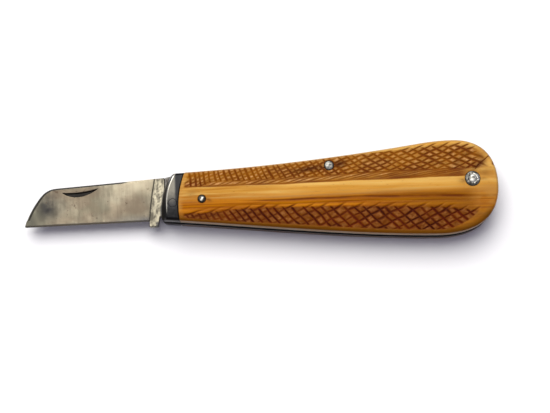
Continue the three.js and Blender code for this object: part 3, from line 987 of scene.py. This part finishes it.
def bone_finish():
    """Old polished bone: honey coloured, browner in the cut zones, dark brown in the cuts."""
    f = Finish("bone")
    streaks = f.noise((45, 1300, 1300), detail=5)
    long_streaks = f.noise((25, 420, 420), detail=3)
    clouds = f.noise((130, 260, 260), detail=3)
    mottle = f.noise((420, 700, 700), detail=4)
    grit = f.noise((1100, 1700, 1700), detail=2, low=0.4, high=0.62)
    pores = f.noise((700, 2600, 2600), detail=2, low=0.63, high=0.74)

    # The plain bone: streaked honey, with painted shade that turns it amber further down and along the lower
    # edge.
    honey = f.mix(long_streaks, under_light(200, 144, 62), under_light(228, 186, 106))
    honey = f.mix(f.times(streaks, 0.45), honey, under_light(218, 156, 66))
    fibres = f.times(f.times(streaks, f.field("fibres")), 0.85)
    honey = f.mix(fibres, honey, under_light(160, 98, 28))
    # the amber is the bone in painted shade
    amber = f.mix(streaks, under_light(150, 84, 6), under_light(190, 118, 26))
    color = f.mix(f.field("shade"), honey, amber)
    near_end = f.times(f.field("end"), f.spread(clouds, 0, 1, 0.2, 0.8))
    color = f.mix(near_end, color, under_light(190, 138, 70))
    # painted shade along the lower edge, and a darker tone below the stripe near the butt
    color = f.mix(f.field("shade_and_butt_tone"), color, under_light(110, 70, 22))

    # The cut zones: the slopes of the cuts, and the tops between them, lighter partly as worn bone and
    # partly as painted highlight.
    lower_side = f.mix(clouds, under_light(92, 44, 6), under_light(118, 64, 16))
    lower_top = f.mix(mottle, under_light(100, 56, 20), under_light(144, 94, 56))
    upper_side = f.mix(clouds, under_light(130, 76, 14), under_light(154, 96, 28))
    upper_top = f.mix(mottle, under_light(156, 104, 52), under_light(210, 156, 104))
    top = f.times(f.field("top"), f.spread(grit, 0, 1, 0.45, 1))
    color = f.mix(f.times(f.field("lower"), 0.9), color, f.mix(top, lower_side, lower_top))
    color = f.mix(f.times(f.field("upper"), 0.85), color, f.mix(top, upper_side, upper_top))

    # A painted highlight on the upper rim, painted light and painted shade on the sides, the bottoms of the
    # cuts, the pores and the dirt.
    color = f.mix(f.times(f.field("rim"), 0.6), color, under_light(170, 142, 98))
    color = f.mix(f.field("side_light"), color, under_light(166, 134, 96))
    color = f.mix(f.field("side"), color, under_light(30, 22, 20))
    upper_depth = f.mix(clouds, under_light(104, 52, 4), under_light(134, 76, 10))
    lower_depth = f.mix(clouds, under_light(62, 24, 0), under_light(90, 38, 2))
    depth = f.mix(f.field("lower"), upper_depth, lower_depth)
    color = f.mix(f.spread(f.field("cut"), 0.02, 0.8), color, depth)
    color = f.mix(f.times(pores, 0.3), color, under_light(130, 74, 20))
    dirt = f.times(f.field("dirt_and_shade"), f.noise((1100, 1100, 1100), detail=3, low=0.1, high=0.42))
    color = f.mix(dirt, color, under_light(78, 42, 12))

    rough = f.spread(f.plus(f.field("cut"), f.field("lower")), 0, 1.6, 0.28, 0.5)
    rough = f.plus(rough, f.times(clouds, 0.08))
    grain = f.bump(streaks, 0.02, 0.5)
    grain = f.bump(pores, -0.03, 0.6, grain)
    grain = f.bump(mottle, 0.05, f.times(f.field("top"), 0.6), grain)
    f.set(Base_Color=color, Roughness=rough, Normal=grain)
    f.set(Subsurface_Weight=0.1, Subsurface_Radius=(1.2, 0.6, 0.25), Subsurface_Scale=0.0006)
    f.set(IOR=1.54, Specular_IOR_Level=0.1, Specular_Tint=(1, 0.6, 0.25, 1))
    return f.material


def steel(name, light, dark, rough=(0.28, 0.45)):
    """Worked steel with fine scratches and blotches. Returns the finish and its colour so far."""
    f = Finish(name)
    blotches = f.noise((150, 150, 150), detail=6)
    lines = f.noise((1500, 90, 1500), detail=3)
    color = f.mix(blotches, light, dark)
    color = f.mix(f.times(lines, 0.3), color, dark)
    roughness = f.spread(f.plus(blotches, f.times(lines, 0.6)), 0, 1.6, *rough)
    f.set(Metallic=0.7, Specular_IOR_Level=0.3, Roughness=roughness)
    f.set(Normal=f.bump(lines, 0.006, 0.5))
    return f, color


def blade_finish():
    """Carbon steel with a warm grey patina, freckles, a dark cloud near the tip and a polished tang."""
    f, color = steel("blade_steel", linear(124, 117, 99), linear(101, 94, 79))
    warm = f.noise((140, 190, 190), detail=6, low=0.4, high=0.6)
    green = f.noise((110, 170, 170), detail=4, low=0.5, high=0.68)
    color = f.mix(f.times(warm, 0.5), color, linear(97, 82, 66))
    color = f.mix(f.times(green, 0.4), color, linear(98, 95, 78))
    clouded = f.noise((150, 150, 150), detail=5, low=0.3, high=0.6)
    cloud = f.times(f.field("cloud"), f.spread(clouded, 0, 1, 0.7, 1))
    color = f.mix(f.times(f.field("tip"), 0.6), color, linear(106, 106, 90))
    color = f.mix(cloud, color, linear(34, 33, 33))
    # painted reflection on the upper blade toward the tang
    color = f.mix(f.times(f.field("shine"), 0.6), color, linear(152, 143, 121))
    color = f.mix(f.times(f.field("low"), clouded), color, linear(84, 82, 80))
    freckles = f.noise((800, 800, 800), detail=3, low=0.64, high=0.72)
    color = f.mix(f.times(freckles, 0.75), color, linear(64, 50, 38))
    polished = f.noise((900, 350, 900), detail=4)
    bright = f.mix(polished, linear(124, 118, 101), linear(68, 64, 54))
    color = f.mix(f.field("tang"), color, bright)
    color = f.mix(f.times(f.field("edge"), 0.4), color, linear(112, 106, 94))
    color = f.mix(f.times(f.field("chamfer"), 0.9), color, linear(60, 60, 56))
    # a dark line at the plunge, and painted shade by the bolster and on the tang's lower corner
    color = f.mix(f.times(f.field("dirt_and_shade"), 0.95), color, linear(44, 44, 44))
    color = f.mix(f.field("nick"), color, linear(22, 19, 16))
    f.set(Base_Color=color)
    return f.material


def bolster_finish():
    """Dark gunmetal, with painted sheen on the upper front, painted shade low and by the joint, and a bright
    crease.
    """
    f, color = steel("bolster_iron", linear(40, 40, 40), linear(28, 28, 31), rough=(0.3, 0.42))
    # a painted sheen on the upper front
    painted_sheen = f.times(f.field("painted_sheen"), f.noise((400, 250, 400), detail=4, low=0.1, high=0.45))
    color = f.mix(f.times(painted_sheen, 0.95), color, linear(82, 79, 71))
    # painted shade toward the joint and the lower edge
    color = f.mix(f.times(f.field("dark"), 0.85), color, linear(12, 12, 13))
    color = f.mix(f.times(f.field("bevel"), 0.6), color, linear(50, 50, 50))
    # the bevel's crease: partly worn bright steel, partly painted highlight
    color = f.mix(f.field("wear_and_shine"), color, linear(226, 222, 208))
    # darker at the joint, dirt round the pin, and painted shade along the lower edge
    color = f.mix(f.times(f.field("dirt_and_shade"), 0.8), color, linear(30, 26, 24))
    f.set(Base_Color=color)
    return f.material


def plate_finish(name, light, dark):
    """Liner or spring steel: darker on its faces as painted shade, brighter along its worn edges."""
    f, color = steel(name, light, dark, rough=(0.35, 0.5))
    color = f.mix(f.times(f.field("wear_and_shine"), 0.3), color, light)
    color = f.mix(f.times(f.field("dirt_and_shade"), 0.8), color, linear(44, 38, 32))
    f.set(Base_Color=color)
    return f.material


def rivet_finish():
    """Hammered rivet steel: bright where it is worn and where a highlight is painted, and dark with old dirt
    elsewhere.
    """
    f, color = steel("pin_steel", linear(196, 194, 186), linear(128, 126, 118), rough=(0.3, 0.45))
    # dark dirt where the field is low; worn steel and painted highlights where it is high
    color = f.mix(f.field("wear_and_shine"), linear(42, 39, 33), color)
    pits = f.noise((1500, 1500, 1500), detail=2, low=0.58, high=0.66)
    color = f.mix(f.times(pits, 0.75), color, linear(54, 50, 44))
    f.set(Base_Color=color)
    return f.material


# --- the pieces, with what they ride on and stand for -----------------------------------------------------


def fit(piece, material, slot, body, *nodes):
    """Gives a piece its material, the body it rides on and the CAD nodes it stands for. slot is not used."""
    piece.data.materials.append(material)
    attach(piece, body)
    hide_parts(*nodes)


bone = bone_finish()
# The front scale's sides are painted mostly light, the rear scale's mostly dark as painted shade.
front_bone = make_scale("front_bone_scale", seed=11, side=0.15, side_light=0.85)
rear_bone = mirror_in_middle(make_scale("rear_bone_scale", seed=47, side=0.8, side_light=0.3))
fit(front_bone, bone, "bone", "handle", "front_scale")
fit(rear_bone, bone, "bone", "handle", "rear_scale")

iron = bolster_finish()
fit(make_bolster("front_steel_bolster"), iron, "bolster_iron", "handle", "front_bolster")
fit(mirror_in_middle(make_bolster("rear_steel_bolster")), iron, "bolster_iron", "handle", "rear_bolster")

# the liners' steel is painted nearly black, as painted shade in the band under the handle
liner_steel = plate_finish("liner_steel", linear(44, 41, 38), linear(26, 24, 23))
fit(make_liner("front_steel_liner"), liner_steel, "liner_steel", "handle", "front_liner")
fit(mirror_in_middle(make_liner("rear_steel_liner")), liner_steel, "liner_steel", "handle", "rear_liner")

spring_steel = plate_finish("spring_steel", linear(104, 102, 98), linear(58, 56, 54))
spring = make_spring()
spring.data.materials.append(spring_steel)
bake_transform(spring)
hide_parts("back_spring_tail", "back_spring_arm")

fit(make_blade(), blade_finish(), "blade_steel", "blade", "blade")

rivet_steel = rivet_finish()
fit(make_pivot_rivet(), iron, "bolster_iron", "handle", "pivot_pin")
fit(make_centre_rivet(), rivet_steel, "pin_steel", "handle", "centre_pin")
fit(make_butt_rivet(), rivet_steel, "pin_steel", "handle", "butt_pin")

front_washer = make_washer("front_hammered_washer", HANDLE_TOP + BUTT_PROUD, seed=12)
rear_washer = mirror_in_middle(make_washer("rear_hammered_washer", HANDLE_TOP, seed=13))
fit(front_washer, rivet_steel, "pin_steel", "handle", "front_butt_washer")
fit(rear_washer, rivet_steel, "pin_steel", "handle", "rear_butt_washer")

front_rivet = make_scale_rivet("front_scale_rivet", HANDLE_TOP + SCALE_PIN_PROUD)
rear_rivet = mirror_in_middle(make_scale_rivet("rear_scale_rivet", HANDLE_TOP))
fit(front_rivet, rivet_steel, "pin_steel", "handle", "front_scale_pin")
fit(rear_rivet, rivet_steel, "pin_steel", "handle", "rear_scale_pin")

# --- floor, light and camera ------------------------------------------------------------------------------


def make_floor():
    mesh = bpy.data.meshes.new("floor")
    reach = 3  # metres
    corners = [(-reach, -reach, 0), (reach, -reach, 0), (reach, reach, 0), (-reach, reach, 0)]
    mesh.from_pydata(corners, [], [(0, 1, 2, 3)])
    floor = bpy.data.objects.new("floor", mesh)
    bpy.context.scene.collection.objects.link(floor)
    f = Finish("floor_white")
    f.set(Base_Color=(0.92, 0.92, 0.93, 1), Roughness=0.9, Specular_IOR_Level=0.1)
    floor.data.materials.append(f.material)


def add_light(name, place, size, power, color):
    """A square light that faces the frame's origin. size is in metres, and power in watts."""
    data = bpy.data.lights.new(name, "AREA")
    data.size = size
    data.energy = power
    data.color = color
    light = bpy.data.objects.new(name, data)
    light.location = place
    light.rotation_euler = (-Vector(place)).to_track_quat("-Z", "Y").to_euler()
    bpy.context.scene.collection.objects.link(light)


def make_camera():
    """Nearly overhead, a little from the cutting edge's side, and rolled so that the butt rises."""
    elevation = math.radians(80)
    roll = math.radians(-2.19)
    away = 0.430  # metres
    aim = Vector(to_row((30.44, -1.33, 6)))
    forward = Vector((0, math.cos(elevation), -math.sin(elevation)))
    side = Vector((1, 0, 0))
    up = side.cross(forward)
    right = math.cos(roll) * side + math.sin(roll) * up
    rolled_up = -math.sin(roll) * side + math.cos(roll) * up
    data = bpy.data.cameras.new("camera")
    data.sensor_width = 36
    data.lens = 93.63927
    data.clip_start = 0.01
    camera = bpy.data.objects.new("camera", data)
    turn = Matrix((right, rolled_up, -forward)).transposed().to_4x4()
    camera.matrix_world = Matrix.Translation(aim - away * forward) @ turn
    bpy.context.scene.collection.objects.link(camera)
    bpy.context.scene.camera = camera


def make_world(color, strength):
    world = bpy.data.worlds.new("studio")
    world.use_nodes = True
    background = world.node_tree.nodes["Background"]
    background.inputs["Color"].default_value = color
    background.inputs["Strength"].default_value = strength
    bpy.context.scene.world = world


COOL = (0.84, 0.81, 1)
make_floor()
make_camera()
make_world((*COOL, 1), 0.22)
add_light("key", (-0.12, 0.41, 0.88), 0.8, 12.6, (1, 0.985, 0.94))
add_light("overhead", (0, -0.1, 1.2), 1.4, 2.1, COOL)
bpy.context.scene.view_settings.view_transform = "Standard"
